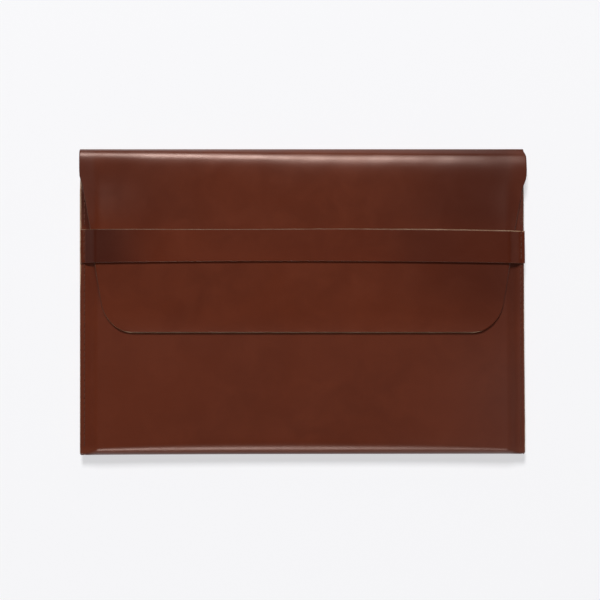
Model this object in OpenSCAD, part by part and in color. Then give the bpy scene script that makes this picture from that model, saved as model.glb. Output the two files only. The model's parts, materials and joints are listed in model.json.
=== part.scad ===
// Envelope sleeve for a thin 13-inch laptop, cut from one hide and folded twice.
// The hide runs front panel, bottom fold, back panel, top fold, flap.
// A strap sewn into both side seams holds the flap shut. Nothing else is on it.
// It lies on its back: X across, Y towards the top fold, Z up out of the front. Millimetres.

/* [Hide] */
// width across the two side seams
body_w = 335; // [260:1:420]
// height from the bottom fold to the top fold
body_h = 230; // [180:1:320]
// thickness of the leather
leather_t = 1.8; // [1.2:0.1:3]

/* [Pocket] */
// clear depth over the laptop
pocket_gap = 11.4; // [6:0.2:20]
// width of each shoulder, where the pocket runs out to the sewn margin
shoulder_w = 10.75; // [6:0.25:30]
// height of the back at the sewn margins, above the table
seam_rise = 7.2; // [0:0.1:12]
// width of the sewn margin, from the cut edge to where the two layers part
seam_margin = 4; // [3:0.5:12]
// glue line between the two layers of a margin
seam_gap = 0.15; // [0.1:0.05:0.5]
// from the top outline down to the pocket's mouth
mouth_drop = 14; // [11:0.5:40]
// length below the top fold over which the margins come down to the table
margin_run = 26; // [12:1:60]

/* [Flap] */
// length from the top outline to the flap's free edge
flap_len = 138.4; // [90:0.2:200]
// length of the full-width neck, from the top outline
neck_len = 20.3; // [12:0.1:60]
// slope of the two side edges, in degrees
flap_taper = 9.8; // [0:0.1:25]
// radius of the two free corners
flap_corner_r = 26; // [5:0.5:60]
// air between layers that lie on each other
lay_gap = 0.35; // [0.2:0.05:1]

/* [Strap] */
// width of the strap
strap_w = 25.2; // [15:0.1:50]
// from the top outline down to the strap's upper edge
strap_drop = 59.8; // [35:0.1:110]

/* [Stitching] */
// from the cut edge to the line of stitches
stitch_inset = 2.6; // [2:0.1:6]
// from one needle hole to the next
stitch_pitch = 4.5; // [3:0.1:8]
// leather that shows between two stitches
stitch_space = 1; // [0.5:0.1:2]
// from the bottom outline to the first needle hole
stitch_start = 5; // [4:0.5:15]
// from the pocket's mouth to the last needle hole
stitch_end = 1.5; // [1:0.5:10]
// diameter of the waxed thread
thread_d = 0.8; // [0.4:0.05:1.4]
// air under a stitch that lies on the leather
thread_gap = 0.2; // [0.1:0.05:0.4]

/* [Hidden] */
$fn = 64;

hide_color = [0.35, 0.16, 0.10];
strap_color = [0.31, 0.14, 0.10];
thread_color = [0.42, 0.24, 0.16];

t = leather_t;
half_w = body_w / 2;
top_y = body_h / 2;
bottom_y = -body_h / 2;
part_x = half_w - seam_margin;
flat_half = part_x - shoulder_w;
front_drop = pocket_gap - seam_gap - seam_rise;

// the stack over the pocket's middle
front_over = 2 * t + pocket_gap;
flap_under = front_over + lay_gap;
flap_over = flap_under + t;

// the top fold is a half tube, and the flap swings about its axis
fold_r = flap_over / 2;
hinge_y = top_y - fold_r;
hinge_z = fold_r;
root_y = hinge_y - lay_gap;

// rows along the height; the bottom fold ends in a short straight length
fold_end = 0.6;
join_y = bottom_y + front_over / 2 + fold_end;
mouth_y = top_y - mouth_drop;
run_y = hinge_y - margin_run;
neck_y = top_y - neck_len;
tip_y = top_y - flap_len;
strap_y = top_y - strap_drop;

// the flap's free corners, each tangent to a sloping side and to the free edge
slope = tan(flap_taper);
corner_y = tip_y + flap_corner_r;
corner_x = half_w - slope * (neck_y - corner_y) - flap_corner_r / cos(flap_taper);

// steps that the curves are drawn with
shoulder_steps = 8;
run_steps = 10;
fold_steps = 14;
corner_steps = 10;

function ease(v) = let (c = min(1, max(0, v))) c * c * (3 - 2 * c);
function flip(list) = [for (i = [len(list) - 1 : -1 : 0]) list[i]];
function spread(a, b, n) = [for (i = [0 : n]) a + (b - a) * i / n];

// 0 over the laptop, 1 on the sewn margins
function shoulder(x) = ease((abs(x) - flat_half) / (part_x - flat_half));

// 1 along the seams, 0 where the back lies flat at the top fold
function run_up(y) = 1 - ease((y - run_y) / (hinge_y - run_y));

// 1 under the strap, which draws the flap's edges down, 0 where the flap leaves the top fold
function draw_down(y) = 1 - ease((y - strap_y) / (hinge_y - strap_y));

// undersides of the back, of the front and of the flap
function back_under(x, y) = seam_rise * shoulder(x) * run_up(y);
function parting(x) = pocket_gap - (pocket_gap - seam_gap) * shoulder(x);
function front_under(x, y) = back_under(x, y) + t + parting(x);
function flap_under_at(x, y) = flap_under - front_drop * shoulder(x) * draw_down(y);

// half the flap's width at a height above its corners
function flap_half(y) = half_w - slope * max(0, neck_y - y);

// columns across the sleeve, close together on the shoulders
half_cols = concat(spread(flat_half, part_x, shoulder_steps), [half_w]);
left_cols = [for (x = flip(half_cols)) -x];
cols = concat(left_cols, [0], half_cols);

// a sheet between two grids of points that have the same rows and columns
module sheet(upper, lower) {
    m = len(upper);
    n = len(upper[0]);
    last = m * n;
    points = concat([for (row = upper) each row], [for (row = lower) each row]);
    function at(i, j) = i * n + j;
    polyhedron(points, concat(
        [for (i = [0 : m - 2], j = [0 : n - 2]) each [
            [at(i, j), at(i + 1, j + 1), at(i + 1, j)],
            [at(i, j), at(i, j + 1), at(i + 1, j + 1)],
            [last + at(i, j), last + at(i + 1, j), last + at(i + 1, j + 1)],
            [last + at(i, j), last + at(i + 1, j + 1), last + at(i, j + 1)]]],
        [for (i = [0 : m - 2]) each [
            [at(i, 0), last + at(i + 1, 0), last + at(i, 0)],
            [at(i, 0), at(i + 1, 0), last + at(i + 1, 0)],
            [at(i, n - 1), last + at(i, n - 1), last + at(i + 1, n - 1)],
            [at(i, n - 1), last + at(i + 1, n - 1), at(i + 1, n - 1)]]],
        [for (j = [0 : n - 2]) each [
            [at(0, j), last + at(0, j), last + at(0, j + 1)],
            [at(0, j), last + at(0, j + 1), at(0, j + 1)],
            [at(m - 1, j), last + at(m - 1, j + 1), last + at(m - 1, j)],
            [at(m - 1, j), at(m - 1, j + 1), last + at(m - 1, j + 1)]]]
    ), convexity = 6);
}

// flat in the middle, so that the sleeve rests on one plain face
module back_panel() {
    rows = concat([join_y], spread(run_y, hinge_y, run_steps));
    color(hide_color) {
        translate([-flat_half, join_y, 0]) cube([2 * flat_half, hinge_y - join_y, t]);
        for (side = [left_cols, half_cols])
            sheet(
                [for (x = side) [for (y = rows) [x, y, back_under(x, y) + t]]],
                [for (x = side) [for (y = rows) [x, y, back_under(x, y)]]]);
    }
}

module front_panel() {
    rows = concat([join_y], spread(run_y, mouth_y, run_steps));
    color(hide_color) {
        translate([-flat_half, join_y, t + pocket_gap]) cube([2 * flat_half, mouth_y - join_y, t]);
        for (side = [left_cols, half_cols])
            sheet(
                [for (x = side) [for (y = rows) [x, y, front_under(x, y) + t]]],
                [for (x = side) [for (y = rows) [x, y, front_under(x, y)]]]);
    }
}

// one turn of the hide round the bottom of the pocket, tight at the seams and full in the middle
function turn(x, r, r_out, mid_z) = concat(
    [[x, join_y, mid_z - r]],
    [for (a = spread(270, 90, fold_steps)) [x, bottom_y + r_out + r * cos(a), mid_z + r * sin(a)]],
    [[x, join_y, mid_z + r]]);

module bottom_fold() {
    function half_depth(x) = t + parting(x) / 2;
    function mid(x) = back_under(x, join_y) + half_depth(x);
    color(hide_color) sheet(
        [for (x = cols) turn(x, half_depth(x), half_depth(x), mid(x))],
        [for (x = cols) turn(x, half_depth(x) - t, half_depth(x), mid(x))]);
}

module top_fold() {
    color(hide_color)
        translate([-half_w, hinge_y, hinge_z])
            rotate([90, 0, 90])
                linear_extrude(height = body_w)
                    difference() {
                        circle(r = fold_r);
                        circle(r = fold_r - t);
                        translate([-4 * fold_r, -2 * fold_r]) square(4 * fold_r);
                    }
}

// the flap as it is cut: full width at the fold, tapered sides, round free corners
module flap_outline() {
    right = concat(
        [[half_w, top_y], [half_w, neck_y]],
        [for (a = spread(-flap_taper, -90, corner_steps))
            [corner_x + flap_corner_r * cos(a), corner_y + flap_corner_r * sin(a)]]);
    polygon(concat(right, [for (p = flip(right)) [-p[0], p[1]]]));
}

// the flap lies over the front, so it is that draped sheet, trimmed to its outline
module flap() {
    rows = concat([tip_y - t], spread(strap_y, root_y, run_steps));
    inner = [for (x = cols) if (abs(x) < half_w) x];
    wide = concat([-half_w - t], inner, [half_w + t]);
    color(hide_color)
        intersection() {
            sheet(
                [for (x = wide) [for (y = rows) [x, y, flap_under_at(x, y) + t]]],
                [for (x = wide) [for (y = rows) [x, y, flap_under_at(x, y)]]]);
            linear_extrude(height = 2 * flap_over) flap_outline();
        }
}

// the strap lies on the flap, drops past its edges and ends flat on the sewn margins
module strap() {
    edge_x = flap_half(strap_y) + lay_gap;
    tab_x = part_x + lay_gap;
    function lift(x) = (t + 2 * lay_gap) * (1 - ease((abs(x) - edge_x) / (tab_x - edge_x)));
    function under(x) = front_under(x, strap_y) + t + lift(x);
    right = concat([for (x = half_cols) if (x < edge_x) x], spread(edge_x, tab_x, shoulder_steps), [half_w]);
    line = concat([for (x = flip(right)) -x], right);
    color(strap_color)
        translate([0, strap_y, 0])
            rotate([90, 0, 0])
                linear_extrude(height = strap_w)
                    polygon(concat([for (x = line) [x, under(x)]], [for (x = flip(line)) [x, under(x) + t]]));
}

// one stitch: the thread between two needle holes, with pinched ends
stitch_len = stitch_pitch - stitch_space;

module stitch() {
    r = thread_d / 2;
    h = stitch_len / 2;
    rotate([90, 0, 0])
        rotate_extrude()
            polygon([[0, -h], [r / 2, -h], [r, r - h], [r, h - r], [r / 2, h], [0, h]]);
}

// stitches from y0 to y1 along a margin, lying over it (side 1) or under it (side -1),
// on leather whose face is that much higher than the underside of the back
module stitch_run(y0, y1, side, face) {
    function margin(y) = back_under(half_w, y);
    count = floor((y1 - y0) / stitch_pitch);
    first = (y0 + y1 - (count - 1) * stitch_pitch) / 2;
    for (i = [0 : count - 1]) {
        y = first + i * stitch_pitch;
        low = margin(y - stitch_len / 2);
        high = margin(y + stitch_len / 2);
        translate([0, y, (low + high) / 2 + face])
            rotate([atan2(high - low, stitch_len), 0, 0])
                translate([0, 0, side * (thread_d / 2 + thread_gap)])
                    stitch();
    }
}

seam_low = bottom_y + stitch_start;
seam_high = mouth_y - stitch_end;
margin_over = 2 * t + seam_gap;

// the needle thread climbs over the strap's tab, so it runs in three lengths
module needle_thread() {
    strap_low = strap_y - strap_w;
    stitch_run(seam_low, strap_low, 1, margin_over);
    stitch_run(strap_low, strap_y, 1, margin_over + t);
    stitch_run(strap_y, seam_high, 1, margin_over);
}

module bobbin_thread() {
    stitch_run(seam_low, seam_high, -1, 0);
}

module left_needle_thread() {
    color(thread_color) translate([stitch_inset - half_w, 0, 0]) needle_thread();
}

module left_bobbin_thread() {
    color(thread_color) translate([stitch_inset - half_w, 0, 0]) bobbin_thread();
}

module right_needle_thread() {
    color(thread_color) translate([half_w - stitch_inset, 0, 0]) needle_thread();
}

module right_bobbin_thread() {
    color(thread_color) translate([half_w - stitch_inset, 0, 0]) bobbin_thread();
}

back_panel();
bottom_fold();
front_panel();
top_fold();
flap();
strap();
left_needle_thread();
left_bobbin_thread();
right_needle_thread();
right_bobbin_thread();
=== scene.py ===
"""A leather laptop sleeve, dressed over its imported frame.

The hide is one sheet that runs mouth, front, bottom fold, back, top fold, flap. It is made here as
meshes with real thickness that meet edge to edge, so that the flap can swing. Lengths are metres.
"""
import json
import math

import bpy
import numpy as np
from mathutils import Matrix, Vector


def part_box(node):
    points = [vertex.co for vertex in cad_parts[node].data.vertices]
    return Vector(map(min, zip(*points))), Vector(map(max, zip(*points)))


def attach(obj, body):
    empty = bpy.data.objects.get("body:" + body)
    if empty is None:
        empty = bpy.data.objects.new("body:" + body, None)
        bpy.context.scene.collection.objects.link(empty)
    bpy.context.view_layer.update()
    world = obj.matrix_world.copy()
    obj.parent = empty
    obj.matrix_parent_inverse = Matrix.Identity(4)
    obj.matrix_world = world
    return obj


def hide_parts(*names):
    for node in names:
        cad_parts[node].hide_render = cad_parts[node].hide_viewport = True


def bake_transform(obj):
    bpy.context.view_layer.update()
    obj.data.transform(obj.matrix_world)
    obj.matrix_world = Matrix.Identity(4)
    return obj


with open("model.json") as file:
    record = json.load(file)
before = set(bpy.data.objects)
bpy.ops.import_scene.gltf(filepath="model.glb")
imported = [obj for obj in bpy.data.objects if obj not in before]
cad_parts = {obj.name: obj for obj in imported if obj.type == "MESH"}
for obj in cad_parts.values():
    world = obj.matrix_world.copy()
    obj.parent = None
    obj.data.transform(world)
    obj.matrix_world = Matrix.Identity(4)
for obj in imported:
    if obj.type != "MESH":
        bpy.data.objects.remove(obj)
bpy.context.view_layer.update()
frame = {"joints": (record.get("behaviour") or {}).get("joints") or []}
MM = 0.001

# Sizes read from the frame
_, front_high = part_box("front_panel")
_, back_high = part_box("back_panel")
_, fold_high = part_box("top_fold")
bottom_low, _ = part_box("bottom_fold")
flap_low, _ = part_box("flap")
strap_low, strap_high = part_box("strap")
hinge = Vector(frame["joints"][0]["pos_m"])

# Sizes of the leather and its sewing
LEATHER = 1.8 * MM
LAY_GAP = 0.35 * MM
SEAM_GAP = 0.15 * MM
SEAM_MARGIN = 4 * MM
SHOULDER = 10.75 * MM
MARGIN_RUN = 26 * MM
NECK = 20.3 * MM
TAPER = math.radians(9.8)
CORNER = 26 * MM
STITCH_INSET = {-1: 3.6 * MM, 1: 2.1 * MM}
STITCH_PITCH = 4.5 * MM
STITCH_START = 5 * MM
STITCH_END = 1.5 * MM
THREAD = 0.8 * MM

# Lines and levels that follow from them
half_w = front_high.x
top_y = fold_high.y
bottom_y = bottom_low.y
mouth_y = front_high.y
tip_y = flap_low.y
strap_y = strap_high.y
strap_foot = strap_low.y
strap_w = strap_y - strap_foot
part_x = half_w - SEAM_MARGIN
flat_x = part_x - SHOULDER
crest_x = flat_x + 2.3 * MM
tab_x = part_x + 0.7 * MM
run_y = hinge.y - MARGIN_RUN
neck_y = top_y - NECK
pocket_gap = front_high.z - 2 * LEATHER
seam_rise = back_high.z - LEATHER
front_drop = pocket_gap - SEAM_GAP - seam_rise
flap_under = front_high.z + LAY_GAP
corner_y = tip_y + CORNER
corner_x = half_w - math.tan(TAPER) * (neck_y - corner_y) - CORNER / math.cos(TAPER)
arc_y = corner_y - CORNER * math.sin(TAPER)


# Curves that the shapes and tones are written with

def ease(v):
    """Goes smoothly from 0 to 1 between 0 and 1."""
    c = np.clip(v, 0, 1)
    return c * c * (3 - 2 * c)


def rise(v, start, run):
    """Goes from 0 to 1 as v passes start and covers run, in millimetres. A negative run looks back."""
    return ease((v / MM - start) / run)


def hump(v, middle, width):
    """1 at the middle and less to both sides, in millimetres."""
    return np.exp(-((v / MM - middle) / width) ** 2)


def near_edge(distance, reach):
    """1 at an edge, falling to 0 at a distance of reach."""
    return (1 - np.clip(distance / reach, 0, 1)) ** 2


def rightward(x):
    return ease(x / half_w)


def leftward(x):
    return ease(-x / half_w)


# Shapes shared by the layers

def shoulder(x):
    """0 over the pocket's level middle, 1 over its sewn margins."""
    return ease((np.abs(x) - flat_x) / (part_x - flat_x))


def margin_rise(y):
    """How high the margins stand: they come down to the table at the top fold."""
    return seam_rise * (1 - ease((y - run_y) / (hinge.y - run_y)))


def draw_down(y):
    """How far the flap is drawn down over the shoulders: wholly below the strap, not at the top fold."""
    return 1 - ease((y - strap_y) / (hinge.y - strap_y))


def parting(x):
    """The gap between front and back."""
    return pocket_gap - (pocket_gap - SEAM_GAP) * shoulder(x)


def waves(x, y):
    """Slow unevenness of the stacked leather, the same for every layer at one place."""
    height = 0.22 * MM
    level = (0.5 * np.sin(31 * x + 9 * y + 0.6) + 0.45 * np.sin(-13 * x + 37 * y + 2.1)
             + 0.3 * np.sin(52 * x - 23 * y + 4.0) + 0.25 * np.sin(24 * x + 61 * y + 1.2))
    return height * level * (1 - shoulder(x)) * rise(y - bottom_y, 6, 30)


def sag(x, y):
    """Both ends of the top roll, and the mouth under it, lie lower than the middle."""
    past = np.clip((np.abs(x) / MM - 105) / 62.5, 0, 1)
    right = 1.9 * past ** 2
    left = 2.5 * ease(past)
    return np.where(x > 0, right, left) * MM * rise(y, 58, 40)


def side_drift(x, y):
    """The sides aren't quite square: the right leans out towards its foot, the left a hair at its head."""
    right = 0.35 + 0.25 * rise(y, 60, -40) + 0.85 * np.clip((40 - y / MM) / 132, 0, 1) ** 2
    left = 0.1 * rise(y, 0, 50)
    return (right * rightward(x) - left * leftward(x)) * MM


def bottom_drift(x, y):
    """The bottom fold isn't quite square to the sides either: it hangs lower to the left."""
    along = x / half_w
    lower = 0.5 - 0.25 * along + 0.45 * np.minimum(along, 0) ** 2
    return -lower * MM * rise(y, 10, -110)


def flap_side(y):
    """Half the flap's width, as if its corners were not rounded."""
    return half_w - math.tan(TAPER) * np.maximum(0, neck_y - y)


def flap_half(y):
    """Half the flap's width."""
    arc = corner_x + np.sqrt(np.maximum(0, CORNER ** 2 - np.maximum(0, corner_y - y) ** 2))
    return np.where(y < arc_y, arc, flap_side(y))


def flap_edge(x, y):
    """Distance from a point of the flap to its cut edge."""
    ax = np.abs(x)
    side = (flap_side(y) - ax) * math.cos(TAPER)
    foot = y - tip_y
    dx, dy = ax - corner_x, corner_y - y
    in_corner = (dx > 0) & (dy > dx * math.tan(TAPER))
    round_off = CORNER - np.hypot(dx, dy)
    return np.where(in_corner, round_off, np.minimum(side, foot))


def edge_round(distance, depth):
    """How far a face falls away at a cut edge."""
    return depth * near_edge(distance, 0.7 * MM)


# Mesh building

EDGE_STEPS = [0, 0.12, 0.3, 0.55, 0.9, 1.4]
STITCH_STEPS = [1.65, 1.9, 2.1, 2.3, 2.55]
OUTER, INNER, CUT = 0, 1, 2


def spaced(a, b, step):
    count = max(2, int(round(abs(b - a) / step)) + 1)
    return np.linspace(a, b, count)


def from_left(distances):
    """Places at distances from the left edge, which are in millimetres."""
    return -half_w + np.array(distances) * MM


def mirrored(half, middle):
    return np.concatenate([half, middle, -half[::-1]])


def grid_normals(points):
    along = np.gradient(points, axis=0)
    across = np.gradient(points, axis=1)
    normal = np.cross(across, along)
    return normal / np.maximum(np.linalg.norm(normal, axis=2, keepdims=True), 1e-12)


def put(name, data):
    """A new object in the scene."""
    obj = bpy.data.objects.new(name, data)
    bpy.context.scene.collection.objects.link(obj)
    return obj


def stacked(outer, inner):
    return np.concatenate([outer.reshape(-1, 3), inner.reshape(-1, 3)])


def shell_faces(m, n):
    """The quads of a closed sheet between two grids of m by n points, and each one's material."""
    index = np.arange(m * n).reshape(m, n)
    other = index + m * n
    strips = (
        (OUTER, index[:-1, :-1], index[:-1, 1:], index[1:, 1:], index[1:, :-1]),
        (INNER, other[:-1, :-1], other[1:, :-1], other[1:, 1:], other[:-1, 1:]),
        (CUT, index[:-1, 0], index[1:, 0], other[1:, 0], other[:-1, 0]),
        (CUT, index[1:, -1], index[:-1, -1], other[:-1, -1], other[1:, -1]),
        (CUT, index[0, 1:], index[0, :-1], other[0, :-1], other[0, 1:]),
        (CUT, index[-1, :-1], index[-1, 1:], other[-1, 1:], other[-1, :-1]),
    )
    quads = [np.stack(corners, axis=-1).reshape(-1, 4) for _, *corners in strips]
    kinds = [np.full(len(part), strip[0]) for strip, part in zip(strips, quads)]
    return np.concatenate(quads), np.concatenate(kinds)


def set_normals(mesh, quads, kinds, normals):
    """Gives both faces of a sheet the normals of their grids, and leaves the cut edge flat."""
    loops = stacked(*normals)[quads.reshape(-1)]
    flat = np.zeros((len(quads), 3))
    mesh.polygons.foreach_get("normal", flat.reshape(-1))
    cut = np.repeat(kinds == CUT, 4)
    loops[cut] = np.repeat(flat, 4, axis=0)[cut]
    mesh.normals_split_custom_set(loops.tolist())


def shell(name, outer, inner, materials, values, normals):
    """A closed sheet between two grids of points, with values painted on it."""
    quads, kinds = shell_faces(*outer.shape[:2])
    mesh = bpy.data.meshes.new(name)
    mesh.from_pydata(stacked(outer, inner).tolist(), [], quads.tolist())
    mesh.polygons.foreach_set("material_index", kinds.astype(np.int32))
    mesh.polygons.foreach_set("use_smooth", np.ones(len(kinds), bool))
    for key, grid in values.items():
        layer = mesh.attributes.new(key, "FLOAT", "POINT")
        layer.data.foreach_set("value", np.tile(grid.ravel(), 2).astype(np.float32))
    mesh.update()
    set_normals(mesh, quads, kinds, normals)
    for material in materials:
        mesh.materials.append(material)
    return put(name, mesh)


# Materials

def rgb(r, g, b):
    return (r, g, b, 1.0)


def new_material(name):
    material = bpy.data.materials.new(name)
    material.use_nodes = True
    tree = material.node_tree
    shader = tree.nodes["Principled BSDF"]
    return material, tree, shader


def add(tree, kind, inputs=None, **settings):
    """A new node. Its inputs are links to other nodes or constants."""
    node = tree.nodes.new(kind)
    for key, value in settings.items():
        setattr(node, key, value)
    for key, value in (inputs or {}).items():
        if isinstance(value, bpy.types.NodeSocket):
            tree.links.new(value, node.inputs[key])
        else:
            node.inputs[key].default_value = value
    return node


def noise(tree, place, scale, detail=4.0, rough=0.55, twist=0.0):
    node = add(tree, "ShaderNodeTexNoise", {
        "Vector": place, "Scale": scale, "Detail": detail, "Roughness": rough, "Distortion": twist})
    return node.outputs["Fac"]


def ramp(tree, value, low, high, to_low=0.0, to_high=1.0):
    node = add(tree, "ShaderNodeMapRange", {
        "Value": value, "From Min": low, "From Max": high, "To Min": to_low, "To Max": to_high})
    return node.outputs["Result"]


def mix_color(tree, factor, a, b):
    return add(tree, "ShaderNodeMix", {0: factor, 6: a, 7: b}, data_type="RGBA").outputs[2]


def sums(tree, operation, a, b):
    return add(tree, "ShaderNodeMath", {0: a, 1: b}, operation=operation).outputs["Value"]


def place_of(tree, shift=(0, 0, 0)):
    coords = add(tree, "ShaderNodeTexCoord").outputs["Object"]
    return add(tree, "ShaderNodeMapping", {"Vector": coords, "Location": shift}).outputs["Vector"]


def painted(tree, key):
    """A value that the mesh carries."""
    return add(tree, "ShaderNodeAttribute", attribute_name=key).outputs["Fac"]


def set_bump(tree, shader, height, strength, depth):
    bump = add(tree, "ShaderNodeBump", {"Height": height, "Strength": strength, "Distance": depth})
    tree.links.new(bump.outputs["Normal"], shader.inputs["Normal"])


PULLED = rgb(0.22, 0.075, 0.04)
# Mixed in by the painted dark and haze values: darker tones with painted shade, and a greyish wax haze with
# painted light on the flap's left shoulder.
DARKENED = rgb(0.044, 0.0080, 0.0040)
BLOOM_AND_PAINTED_LIGHT = rgb(0.098, 0.036, 0.027)


def grain_height(tree, place):
    """Fine pebbles and pores over a slow skin."""
    pebbles = add(tree, "ShaderNodeTexVoronoi", {"Vector": place, "Scale": 1100, "Randomness": 1.0},
                  feature="DISTANCE_TO_EDGE").outputs["Distance"]
    pores = noise(tree, place, 2200, 2, 0.5)
    skin = noise(tree, place, 120, 4, 0.5)
    height = sums(tree, "ADD", ramp(tree, pebbles, 0.0, 0.25, 0.0, 0.55),
                  sums(tree, "MULTIPLY", pores, 0.5))
    return sums(tree, "ADD", height, sums(tree, "MULTIPLY", skin, 1.2))


def grain_leather(name, mid, dark, warm, shift=(0, 0, 0)):
    """Oiled pull-up leather: cloudy brown, lighter where it is bent, fine pebbled grain, waxy gloss."""
    material, tree, shader = new_material(name)
    place = place_of(tree, shift)
    clouds = noise(tree, place, 11, 3, 0.5, 0.8)
    blotches = noise(tree, place, 42, 5, 0.6, 0.6)
    flecks = noise(tree, place, 260, 3, 0.6)
    bloom_and_light = painted(tree, "haze")
    pulled = sums(tree, "MULTIPLY", painted(tree, "bend"), ramp(tree, blotches, 0.3, 0.7, 0.6, 1.0))
    color = mix_color(tree, ramp(tree, clouds, 0.36, 0.66, 0, 0.55), mid, dark)
    color = mix_color(tree, ramp(tree, blotches, 0.42, 0.68, 0, 0.5), color, warm)
    color = mix_color(tree, ramp(tree, flecks, 0.35, 0.75, 0, 0.2), color, dark)
    color = mix_color(tree, pulled, color, PULLED)
    # The dark value brings painted shade as well as darker tones; the haze value brings painted light on
    # the flap's left shoulder as well as a greyish wax haze.
    color = mix_color(tree, painted(tree, "dark"), color, DARKENED)
    color = mix_color(tree, sums(tree, "MULTIPLY", bloom_and_light, 0.6), color, BLOOM_AND_PAINTED_LIGHT)
    tree.links.new(color, shader.inputs["Base Color"])
    dull = sums(tree, "ADD", ramp(tree, blotches, 0.3, 0.75, 0.28, 0.34),
                sums(tree, "MULTIPLY", bloom_and_light, 0.06))
    tree.links.new(dull, shader.inputs["Roughness"])
    shader.inputs["Specular IOR Level"].default_value = 0.43
    shader.inputs["Specular Tint"].default_value = rgb(1.0, 0.73, 0.645)
    set_bump(tree, shader, grain_height(tree, place), 0.17, 0.12 * MM)
    return material


def flesh_leather():
    """The rough inner side of the hide."""
    material, tree, shader = new_material("flesh_side")
    place = place_of(tree)
    patches = noise(tree, place, 60, 5, 0.6)
    nap = noise(tree, place, 1500, 4, 0.7)
    color = mix_color(tree, ramp(tree, patches, 0.35, 0.7), rgb(0.20, 0.105, 0.06), rgb(0.27, 0.155, 0.095))
    color = mix_color(tree, ramp(tree, nap, 0.35, 0.7, 0, 0.5), color, rgb(0.14, 0.07, 0.04))
    tree.links.new(color, shader.inputs["Base Color"])
    shader.inputs["Roughness"].default_value = 0.95
    shader.inputs["Specular IOR Level"].default_value = 0.2
    shader.inputs["Sheen Weight"].default_value = 0.25
    shader.inputs["Sheen Roughness"].default_value = 0.5
    set_bump(tree, shader, nap, 0.6, 0.3 * MM)
    return material


def cut_edge():
    """A raw cut through the hide: tan fibres, darker where dye and wax have soaked in and where painted
    shade is laid on.
    """
    material, tree, shader = new_material("cut_edge")
    place = place_of(tree)
    soak = noise(tree, place, 55, 4, 0.6)
    fibres = noise(tree, place, 1800, 3, 0.7)
    color = mix_color(tree, ramp(tree, soak, 0.38, 0.62), rgb(0.60, 0.43, 0.29), rgb(0.36, 0.21, 0.125))
    color = mix_color(tree, ramp(tree, fibres, 0.35, 0.7, 0, 0.5), color, rgb(0.10, 0.04, 0.022))
    # The dark value darkens the cut with edge dye and wax, and with painted shade.
    color = mix_color(tree, painted(tree, "dark"), color, rgb(0.080, 0.027, 0.011))
    tree.links.new(color, shader.inputs["Base Color"])
    shader.inputs["Roughness"].default_value = 0.85
    shader.inputs["Specular IOR Level"].default_value = 0.12
    set_bump(tree, shader, fibres, 0.5, 0.2 * MM)
    return material


def waxed_thread():
    """Brown thread with a diagonal lay."""
    material, tree, shader = new_material("waxed_thread")
    lay = add(tree, "ShaderNodeTexWave", {
        "Vector": place_of(tree), "Scale": 420, "Distortion": 1.5, "Detail": 2.0},
        bands_direction="DIAGONAL").outputs["Fac"]
    color = mix_color(tree, lay, rgb(0.072, 0.020, 0.010), rgb(0.118, 0.036, 0.019))
    tree.links.new(color, shader.inputs["Base Color"])
    shader.inputs["Roughness"].default_value = 0.62
    shader.inputs["Specular IOR Level"].default_value = 0.3
    set_bump(tree, shader, lay, 0.6, 0.1 * MM)
    return material


grain = grain_leather("grain_side", mid=rgb(0.105, 0.0190, 0.0065), dark=rgb(0.079, 0.0148, 0.0059),
                      warm=rgb(0.121, 0.0214, 0.0065))
strap_grain = grain_leather("strap_grain", mid=rgb(0.104, 0.0179, 0.0059),
                            dark=rgb(0.077, 0.0137, 0.0054), warm=rgb(0.116, 0.0200, 0.0059),
                            shift=(0.31, 0.17, 0.05))
flesh = flesh_leather()
edge = cut_edge()
thread = waxed_thread()
HIDE = [grain, flesh, edge]
STRAP = [strap_grain, flesh, edge]


# Tones and painted shade on the hide

def dark_of(x, y):
    """Darker towards the right of the flap, less so at its edge, and under its top left corner."""
    right = 0.6 * rise(x, 20, 130) * (1 - 0.5 * rise(x, 150, 12))
    right = right * rise(y, -30, 50) * (1 + 0.2 * rise(y, 50, 20))
    top_left = 0.32 * hump(x, -135, 50) * hump(y, 90, 30)
    return right + top_left


def haze_of(x, y):
    """A greyish haze of wax: low on the right, along the right edge and on the right of the foot."""
    low_right = 0.4 * hump(x, 160, 60) * hump(y, -75, 50)
    side = 0.2 * hump(x, 160, 12) * (0.8 + 0.9 * rise(y, 40, 20))
    foot = 0.25 * rise(x, 30, 60) * hump(y - bottom_y, 0, 12)
    return low_right + side + foot


def crevice_shade(x, y):
    """Painted shade in the angle beside the flap's left edge, most above the strap."""
    upper = rise(y, 45, 20)
    line = hump(-x - flap_half(y), 0, 1.4 + 3.0 * upper)
    reach = rise(y - tip_y, 0, 25) * rise(y, 100, -4)
    inside = rise(half_w + x, 0, 1.2)
    return (0.5 + 0.45 * upper) * line * (x < 0) * reach * inside


# The pocket: front, bottom fold and back in one sheet

def stitch_line(side):
    return side * (half_w - STITCH_INSET[side])


def stitch_groove(x):
    """How far the seams pull the leather in."""
    near = np.minimum(np.abs(x - stitch_line(-1)), np.abs(x - stitch_line(1)))
    return 0.22 * MM * hump(near, 0, 0.55)


def pocket_columns():
    margin = from_left(EDGE_STEPS + STITCH_STEPS + [2.85, 3.15, 3.4, 3.6, 3.8, 4.0])
    slope = spaced(-part_x, -flat_x, 1.0 * MM)[1:]
    middle = spaced(-flat_x, flat_x, 5 * MM)[1:-1]
    return mirrored(np.concatenate([margin, slope]), middle)


def front_shares():
    """Shares of the way from the mouth to the bottom roll, close together at the mouth."""
    about_length = 0.2
    at_mouth = np.array(EDGE_STEPS) * MM / about_length
    shares = np.concatenate([at_mouth, spaced(0, 1, 0.0075)[1:]])
    return np.unique(np.clip(shares, 0, 1))[None, :]


def bottom_reach(x, depth):
    """How far the bottom roll reaches up the front: tighter towards the two ends."""
    along = x / half_w
    spread = 1.54 - 0.1 * along - 0.85 * along ** 2
    return depth * (1 + (spread - 1) * (1 - shoulder(x)))


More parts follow.
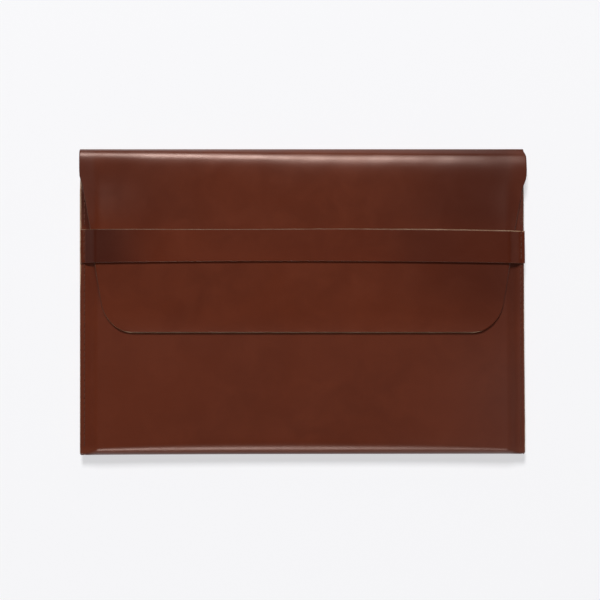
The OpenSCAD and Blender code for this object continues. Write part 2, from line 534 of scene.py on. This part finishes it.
def inset(x, amount):
    """Draws the outer face in at the two sides, so that the cut slants and shows from above."""
    return -np.sign(x) * amount * near_edge(half_w - np.abs(x), 2 * MM)


def side_slant(x, y):
    return np.where(x < 0, 0.5 + 0.9 * rise(y, -10, 60), 0.65) * MM


def pressed(x, y):
    """How far the front's left margin is pressed in beside the flap's edge, above the strap."""
    inward = half_w + x
    dent = rise(inward, 0, 5) * (1 - rise(inward, 4.5, 3.5))
    return 0.7 * MM * dent * rise(y, 62, 12) * (1 - rise(y, 98, 4))


def pocket_face(x):
    """The outer face and which of its rows are the front: down the front, round, and up the back."""
    depth = LEATHER + parting(x) / 2
    reach = bottom_reach(x, depth)
    mid_z = seam_rise * shoulder(x) + depth

    front_y = mouth_y + (bottom_y + reach - mouth_y) * front_shares()
    front_z = margin_rise(front_y) * shoulder(x) + 2 * LEATHER + parting(x) + waves(x, front_y)
    front_z = front_z - (sag(x, front_y) + fold_tail(x, top_y - front_y)) * (1 - shoulder(x))

    down = np.radians(np.linspace(90, 180, 17)[1:])[None, :]
    down_y = bottom_y + reach * (1 + np.cos(down))
    under = np.radians(np.linspace(180, 270, 13)[1:-1])[None, :]
    under_y = bottom_y + depth * (1 + np.cos(under))
    turn_z = mid_z + depth * np.sin(np.concatenate([down, under], axis=1))

    back_y = bottom_y + depth + (hinge.y - bottom_y - depth) * spaced(0, 1, 0.02)[None, :]
    back_z = margin_rise(back_y) * shoulder(x)

    y = np.concatenate([front_y, down_y, under_y, back_y], axis=1)
    z = np.concatenate([front_z, turn_z, back_z], axis=1)
    in_front = np.arange(y.shape[1]) < front_y.shape[1]
    return np.stack([np.broadcast_to(x, y.shape), y, z], axis=-1), in_front


def pocket_tones(x, y, in_front):
    roll = rise(y - bottom_y, 8, -7)
    # Painted shade: along and under the bottom roll's outermost line, and in the angle beside the flap's
    # left edge.
    under_roll_shade = 0.6 * rise(y - bottom_y, 2.6, -1.6)
    wax_and_shade = np.where(in_front, crevice_shade(x, y), under_roll_shade)
    return {"bend": 0.25 * roll, "dark": np.maximum(dark_of(x, y), wax_and_shade), "haze": 0.16 + haze_of(x, y)}


def make_pocket():
    face, in_front = pocket_face(pocket_columns()[:, None])
    x, y = face[..., 0], face[..., 1]
    normal = grid_normals(face)
    inner = face - LEATHER * normal
    inner[..., 0] = x
    far = 1.0
    lip = np.where(in_front, mouth_y - y, far)
    fall = edge_round(np.minimum(half_w - np.abs(x), lip), 0.3 * MM) + stitch_groove(x)
    fall = fall + np.where(in_front, pressed(x, y), 0)
    outer = face - fall[..., None] * normal
    outer[..., 0] = x + inset(x, side_slant(x, y))
    for grid in (outer, inner):
        grid[..., 0] += side_drift(grid[..., 0], grid[..., 1])
        grid[..., 1] += bottom_drift(grid[..., 0], grid[..., 1])
    obj = shell("hide_pocket", outer, inner, HIDE, pocket_tones(x, y, in_front),
                (grid_normals(outer), -grid_normals(inner)))
    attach(obj, "pocket")
    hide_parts("front_panel", "bottom_fold", "back_panel")


# The top fold and the flap, cut from one grid of points

ROLL_DROP = 5.8 * MM
ROLL_LENGTH = 4.95 * MM
UNDER_ROWS = 18
CAP_ROWS = 25
RAMP_ROWS = 6


def flap_columns():
    """Places across the flap as shares of its half width, close together at its sides."""
    near = from_left(EDGE_STEPS + [2.2, 3.2, 4.5, 6, 8, 10, 12.5, 15]) / half_w
    return mirrored(near, np.linspace(near[-1], -near[-1], 62)[1:-1])


def flap_rows():
    """Places along the flap, from the hinge's line to the tip."""
    neck = spaced(hinge.y, neck_y, 1.5 * MM)[1:]
    side = spaced(neck_y, arc_y, 2.5 * MM)[1:]
    sweep = np.linspace(TAPER, math.pi / 2, 22)[1:]
    arc = corner_y - CORNER * np.sin(sweep)
    near_tip = tip_y + np.array(EDGE_STEPS) * MM
    foot = np.unique(np.concatenate([arc, near_tip]))[::-1]
    return np.concatenate([neck, side, foot])


def fold_spread(x):
    """How far the top roll spreads down the flap: tighter at the left end."""
    along = np.clip(x / half_w, -1, 1)
    return 1.055 + 0.46 * along - 0.05 * along ** 2


def fold_tail(x, distance):
    """Height still missing from the flap's level at a distance from the roll's outermost line."""
    ripple = 1 + 0.05 * np.sin(47 * x + 0.8) + 0.035 * np.sin(119 * x + 2.0) + 0.02 * np.sin(263 * x)
    drop = ROLL_DROP * (1.04 + 0.4 * np.minimum(x / half_w, 0.2))
    return drop * np.exp(-distance / (ROLL_LENGTH * fold_spread(x) * ripple))


def cap_length(x):
    return (4.6 * fold_spread(x) - 0.8) * MM


def roll_under(x):
    """The lower quarter of the top roll, from the table up to the outermost line."""
    turn = np.radians(np.linspace(-90, 0, UNDER_ROWS + 1)[:-1])[None, :]
    wide = np.broadcast_to(x, (len(x), UNDER_ROWS))
    y = np.broadcast_to(hinge.y + hinge.z * np.cos(turn), wide.shape)
    z = np.broadcast_to(hinge.z + hinge.z * np.sin(turn), wide.shape)
    return np.stack([wide, y, z], axis=-1)


def roll_cap(x):
    """Over the top the roll is a small oval cap, which runs out slowly into the flap."""
    turn = np.radians(np.linspace(0, 90, CAP_ROWS))[None, :]
    y = top_y - cap_length(x) * (1 - np.cos(turn))
    z = hinge.z + (hinge.z - fold_tail(x, top_y - y) - sag(x, y)) * np.sin(turn)
    return np.stack([np.broadcast_to(x, y.shape), y, z], axis=-1)


def flap_sheet(u):
    """From the end of the cap to the tip. u is the share of the half width."""
    cap_y = top_y - cap_length(u * half_w)
    ramp_y = cap_y + (hinge.y - cap_y) * np.linspace(0, 1, RAMP_ROWS + 1)[None, 1:]
    rows = flap_rows()
    y = np.concatenate([ramp_y, np.broadcast_to(rows, (len(u), len(rows)))], axis=1)
    x = u * flap_half(y)
    z = flap_under + LEATHER - front_drop * shoulder(x) * draw_down(y)
    z = z + waves(x, y) * rise(top_y - y, 14, 25) - fold_tail(x, top_y - y) - sag(x, y)
    z = z + 0.45 * MM * near_edge(y - tip_y, 14 * MM)
    return np.stack([x, y, z], axis=-1)


def flap_drift(x, y, z):
    """The right end of the top roll stands out past the body, most at its neck; the left edge lies in."""
    lift = np.clip((z - hinge.z) / hinge.z, 0, 1)
    neck = rise(y, 84, 9) * (1 - rise(y, 109, 6)) * rise(z - hinge.z, 0, 2)
    right = (1.2 * lift + 1.35 * neck) * rightward(x)
    left = 0.9 * rise(y, 35, 20) * (1 - rise(y, 86, 9)) * leftward(x)
    return (right + left) * MM


def flap_tones(x, y, z):
    away = top_y - y
    pulled = 0.16 * rise(away, 0, 3) * (1 - rise(away, 5, 9)) * (z > hinge.z)
    dabs = 0.92 + 0.05 * np.sin(520 * y + 1.0) + 0.03 * np.sin(1130 * y)
    side_wax = dabs * near_edge(flap_half(y) - np.abs(x), 0.6 * MM) * rise(y - tip_y, 4, 18)
    foot_wax = 0.76 * near_edge(y - tip_y, 0.5 * MM)
    dark = np.maximum(dark_of(x, y), np.maximum(side_wax, foot_wax))
    # Painted light: the flap's left shoulder, where it slopes down, is made lighter and greyer.
    left_painted_light = 0.5 * ease(2 * shoulder(x)) * (x < 0) * rise(y, 50, 20)
    return {"bend": pulled * fold_spread(x), "dark": dark, "haze": haze_of(x, y) + left_painted_light}


def flap_grids():
    """The outer and inner faces of fold and flap, and their tones."""
    u = flap_columns()[:, None]
    face = np.concatenate([roll_under(u * half_w), roll_cap(u * half_w), flap_sheet(u)], axis=1)
    x, y, z = np.moveaxis(face, -1, 0)
    level = np.arange(y.shape[1]) >= UNDER_ROWS + CAP_ROWS
    normal = grid_normals(face)
    inner = face - LEATHER * normal
    inner[:, level, :2] = face[:, level, :2]
    rim = np.where(level, flap_edge(x, y), half_w - np.abs(x))
    rounding = (0.12 + 0.18 * rise(y - tip_y, 3, 12)) * MM
    outer = face - edge_round(rim, rounding)[..., None] * normal
    slant = np.where(x < 0, 0.4, 0.2) * MM * near_edge(flap_half(y) - np.abs(x), 1.5 * MM)
    outer[..., 0] -= level * np.sign(x) * slant * rise(y - neck_y, 4, -6)
    outer[..., 1] += level * 0.8 * MM * near_edge(y - tip_y, 3 * MM)
    inner[:, 0, 1] = outer[:, 0, 1]
    for grid in (outer, inner):
        grid[..., 0] += flap_drift(x, y, z)
        grid[..., 1] -= level * 0.5 * MM * near_edge(y - tip_y, 30 * MM)
    return outer, inner, flap_tones(x, y, z)


def cut_flap():
    """Cuts the grid into the two strips of the fold and the flap."""
    outer, inner, values = flap_grids()
    outer_n, inner_n = grid_normals(outer), -grid_normals(inner)
    fold_end = UNDER_ROWS + CAP_ROWS + RAMP_ROWS - 1
    last = outer.shape[1] - 1
    pieces = []
    for name, a, b in (("hide_fold_under", 0, UNDER_ROWS), ("hide_fold_over", UNDER_ROWS, fold_end),
                       ("hide_flap", fold_end, last)):
        rows = slice(a, b + 1)
        tones = {key: grid[:, rows] for key, grid in values.items()}
        normals = (outer_n[:, rows], inner_n[:, rows])
        pieces.append(shell(name, outer[:, rows], inner[:, rows], HIDE, tones, normals))
    return pieces


make_pocket()
fold_under, fold_over, flap_piece = cut_flap()
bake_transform(fold_under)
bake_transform(fold_over)
for piece in (fold_under, fold_over):
    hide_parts("top_fold")
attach(flap_piece, "flap")
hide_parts("flap")


# The strap

def run_down(v):
    """Goes from 0 to 1 at an even slope between 0 and 1, with its two bends rounded."""
    bend = 0.1
    return (np.hypot(v, bend) + v - np.hypot(v - 1, bend) - (v - 1)) / 2


def strap_columns():
    margin = from_left(EDGE_STEPS + STITCH_STEPS)
    slope = spaced(-tab_x - 0.5 * MM, -flat_x, 0.4 * MM)
    middle = spaced(-flat_x, flat_x, 4 * MM)[1:-1]
    return mirrored(np.concatenate([margin, slope]), middle)


def strap_rows():
    """Distances from the strap's lower edge, from the upper edge down."""
    half = np.concatenate([np.array(EDGE_STEPS) * MM, spaced(2.2 * MM, strap_w / 2, 1.4 * MM)])
    return np.concatenate([half, strap_w - half[-2::-1]])[::-1]


def strap_face(x, across):
    """The strap bows a little, is trimmed unevenly and runs down to the margins at both ends."""
    along = x / half_w
    bow = (0.325 - 0.15 * along - 1.525 * along ** 2) * MM
    trim = 0.7 * np.exp(-((along + 0.35) / 0.5) ** 2) + 0.5 * ease((along - 0.6) / 0.4)
    trim = (trim + 0.575 + 0.25 * along - 0.625 * along ** 2) * MM
    y = strap_foot + across * (1 - trim / strap_w) + bow
    tab_z = seam_rise + 3 * LEATHER + SEAM_GAP
    drop = run_down((np.abs(x) - crest_x) / (tab_x - crest_x))
    z = strap_high.z - (strap_high.z - tab_z) * drop + waves(x, y)
    return np.broadcast_to(x, y.shape), y, z


def strap_tones(x, from_top):
    """Darker along the upper edge and over the right third, with painted shade at the left end where the
    strap runs down to the margin.
    """
    # Painted shade where the strap runs down to the left margin, less on the pressed tab.
    left_end_shade = 1 - rise(x + half_w, 16, 50)
    left_end_shade = left_end_shade * (0.35 + 0.53 * rise(x + part_x, -0.5, 1.5)) * rise(x + half_w, 0, 0.6)
    wax_and_shade = near_edge(from_top, 0.5 * MM) * 0.6 * (1 - rise(x, 50, 50))
    right = (0.52 - 0.28 * shoulder(x)) * rise(x, 45, 50)
    none = np.zeros(x.shape)
    return {"bend": none, "dark": np.maximum(left_end_shade, wax_and_shade) + right, "haze": none}


def make_strap():
    across = strap_rows()[None, :]
    from_top = strap_w - across
    x, y, z = strap_face(strap_columns()[:, None], across)
    fall = np.maximum(edge_round(half_w - np.abs(x), 0.2 * MM), edge_round(across, 0.16 * MM))
    fall = np.maximum(fall, edge_round(from_top, 0.05 * MM))
    slant = (0.42 + 0.35 * rise(x, 20, 60)) * MM * near_edge(from_top, 3 * MM)
    outer_x = x + inset(x, np.where(x < 0, 0.8, 0.3) * MM)
    outer = np.stack([outer_x, y - slant, z - fall - stitch_groove(x)], axis=-1)
    inner = np.stack([x, y, z - LEATHER], axis=-1)
    for grid in (outer, inner):
        grid[..., 0] += side_drift(grid[..., 0], grid[..., 1])
        grid[..., 0] += (0.5 * rightward(x) + 0.3 * leftward(x)) * MM
    obj = shell("strap_band", outer, inner, STRAP, strap_tones(x, from_top),
                (grid_normals(outer), -grid_normals(inner)))
    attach(obj, "pocket")
    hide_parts("strap")


make_strap()


# The sewing

RING_SIDES = 10
RINGS = 13


def stitch_places(low, high):
    count = int((high - low) / STITCH_PITCH + 1e-6)
    first = (low + high - (count - 1) * STITCH_PITCH) / 2
    return first + STITCH_PITCH * np.arange(count)


def stitch_points(side, middle_y, face, way):
    """One stitch is an arched length of thread whose ends dive into the needle holes."""
    s = np.linspace(-1, 1, RINGS)[:, None]
    turn = np.linspace(0, 2 * math.pi, RING_SIDES, endpoint=False)[None, :]
    y = middle_y + s * STITCH_PITCH * 0.47
    dive = 0.75 * MM * np.abs(s) ** 5
    z = margin_rise(y) + face + way * (THREAD * 0.32 - dive)
    radius = THREAD / 2 * (1 - 0.25 * np.abs(s) ** 4)
    askew = 0.12 * MM * s
    ring_x = stitch_line(side) + radius * np.cos(turn) + askew
    ring_z = z + radius * np.sin(turn)
    return np.stack([ring_x, np.broadcast_to(y, ring_x.shape), ring_z], axis=-1).reshape(-1, 3)


def stitch_faces():
    """The quads between a stitch's rings, and its two end caps."""
    ring = np.arange(RINGS - 1)[:, None] * RING_SIDES
    after = ring + RING_SIDES
    a = np.arange(RING_SIDES)[None, :]
    b = (a + 1) % RING_SIDES
    quads = np.stack([ring + a, after + a, after + b, ring + b], axis=-1).reshape(-1, 4)
    first = np.arange(RING_SIDES)
    last = (RINGS - 1) * RING_SIDES + first[::-1]
    return quads, np.stack([first, last])


def make_thread(name, side, lengths, way):
    """A row of stitches along each length, on the face that is so high above the margin's foot."""
    points = [stitch_points(side, y, face, way)
              for low, high, face in lengths for y in stitch_places(low, high)]
    starts = np.arange(len(points)) * RINGS * RING_SIDES
    quads, caps = stitch_faces()
    faces = []
    for shape in (quads, caps):
        faces += (starts[:, None, None] + shape).reshape(-1, shape.shape[1]).tolist()
    mesh = bpy.data.meshes.new(name)
    mesh.from_pydata(np.concatenate(points).tolist(), [], faces)
    mesh.polygons.foreach_set("use_smooth", np.ones(len(mesh.polygons), bool))
    mesh.update()
    mesh.materials.append(thread)
    obj = put(name, mesh)
    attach(obj, "pocket")
    return obj


UP, DOWN = 1, -1
seam_low, seam_high = bottom_y + STITCH_START, mouth_y - STITCH_END
on_front = 2 * LEATHER + SEAM_GAP
on_strap = on_front + LEATHER
on_back = 0.0
for side, word in ((-1, "left"), (1, "right")):
    needle = make_thread(f"{word}_needle_stitches", side, (
        (seam_low, strap_foot, on_front), (strap_foot, strap_y, on_strap),
        (strap_y, seam_high, on_front)), UP)
    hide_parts(f"{word}_needle_thread")
    bobbin = make_thread(f"{word}_bobbin_stitches", side, ((seam_low, seam_high, on_back),), DOWN)
    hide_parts(f"{word}_bobbin_thread")


# Floor, light and camera

BACKDROP = rgb(0.955, 0.955, 0.973)
FLOOR_HALF = 40
FLOOR_LEVEL = -0.3 * MM


def seen_rays(tree):
    """1 for rays that show a surface to the camera, straight or reflected, and 0 for its light."""
    path = add(tree, "ShaderNodeLightPath").outputs
    seen = sums(tree, "MAXIMUM", path["Is Camera Ray"], path["Is Glossy Ray"])
    return sums(tree, "MAXIMUM", seen, path["Is Transmission Ray"])


def floor_material():
    """Pale, seen about half as lit and half as plain colour, so that its shadows stay light.

    Far from the object it goes over into the plain colour, which meets the world's at the skyline.
    """
    material, tree, shader = new_material("floor")
    shader.inputs["Base Color"].default_value = rgb(0.93, 0.93, 0.947)
    shader.inputs["Roughness"].default_value = 0.9
    shader.inputs["Specular IOR Level"].default_value = 0.1
    plain = add(tree, "ShaderNodeEmission", {"Color": BACKDROP, "Strength": 1.0}).outputs["Emission"]
    place = add(tree, "ShaderNodeTexCoord").outputs["Object"]
    away = add(tree, "ShaderNodeVectorMath", {0: place}, operation="LENGTH").outputs["Value"]
    share = sums(tree, "MULTIPLY", seen_rays(tree), ramp(tree, away, 0.8, 4.5, 0.55, 1.0))
    blend = add(tree, "ShaderNodeMixShader", {0: share, 1: shader.outputs["BSDF"], 2: plain})
    tree.links.new(blend.outputs["Shader"], tree.nodes["Material Output"].inputs["Surface"])
    return material


def make_floor():
    mesh = bpy.data.meshes.new("floor")
    corners = [(FLOOR_HALF * i, FLOOR_HALF * j, 0) for i, j in ((-1, -1), (1, -1), (1, 1), (-1, 1))]
    mesh.from_pydata(corners, [], [(0, 1, 2, 3)])
    mesh.materials.append(floor_material())
    obj = put("floor", mesh)
    obj.location.z = FLOOR_LEVEL


def soft_light(name, place, size, power, shadow):
    """A rectangular lamp turned towards the object."""
    lamp = bpy.data.lights.new(name, "AREA")
    lamp.shape = "RECTANGLE"
    lamp.size, lamp.size_y = size
    lamp.energy = power
    lamp.use_shadow = shadow
    obj = put(name, lamp)
    obj.location = place
    obj.rotation_euler = (-Vector(place)).to_track_quat("-Z", "Y").to_euler()


def make_world():
    """A studio that is dark overhead, dim low down, and pale to the eye along the skyline."""
    world = bpy.data.worlds.new("studio")
    bpy.context.scene.world = world
    world.use_nodes = True
    tree = world.node_tree
    direction = add(tree, "ShaderNodeTexCoord").outputs["Generated"]
    parts = add(tree, "ShaderNodeSeparateXYZ", {"Vector": direction}).outputs
    across, height = parts["X"], parts["Z"]
    level = add(tree, "ShaderNodeMapRange", {"Value": height, "From Min": 0.10, "From Max": 0.52},
                interpolation_type="SMOOTHSTEP").outputs["Result"]
    sideways = ramp(tree, sums(tree, "MULTIPLY", across, across), 0.25, 0.85)
    low_down = mix_color(tree, sideways, rgb(0.25, 0.25, 0.257), rgb(0.08, 0.08, 0.082))
    color = mix_color(tree, level, low_down, rgb(0.05, 0.05, 0.05))
    skyline = ramp(tree, height, 0.08, 0.16, 1.0, 0.0)
    color = mix_color(tree, sums(tree, "MULTIPLY", seen_rays(tree), skyline), color, BACKDROP)
    tree.links.new(color, tree.nodes["Background"].inputs["Color"])


def make_camera():
    """Straight above the sleeve, looking down."""
    lens = bpy.data.cameras.new("camera")
    lens.sensor_width = 36
    lens.lens = 118.4
    camera = put("camera", lens)
    camera.location = (-1.2 * MM, 1.0 * MM, 1.5)
    camera.rotation_euler = (0, 0, 0)
    bpy.context.scene.camera = camera


make_floor()
soft_light("top_side", place=(-0.40, 3.70, 4.57), size=(1.0, 1.6), power=308, shadow=True)
soft_light("bottom_side", place=(-0.45, -4.75, 3.4), size=(1.5, 1.4), power=128, shadow=False)
make_world()
make_camera()
bpy.context.scene.view_settings.view_transform = "Standard"
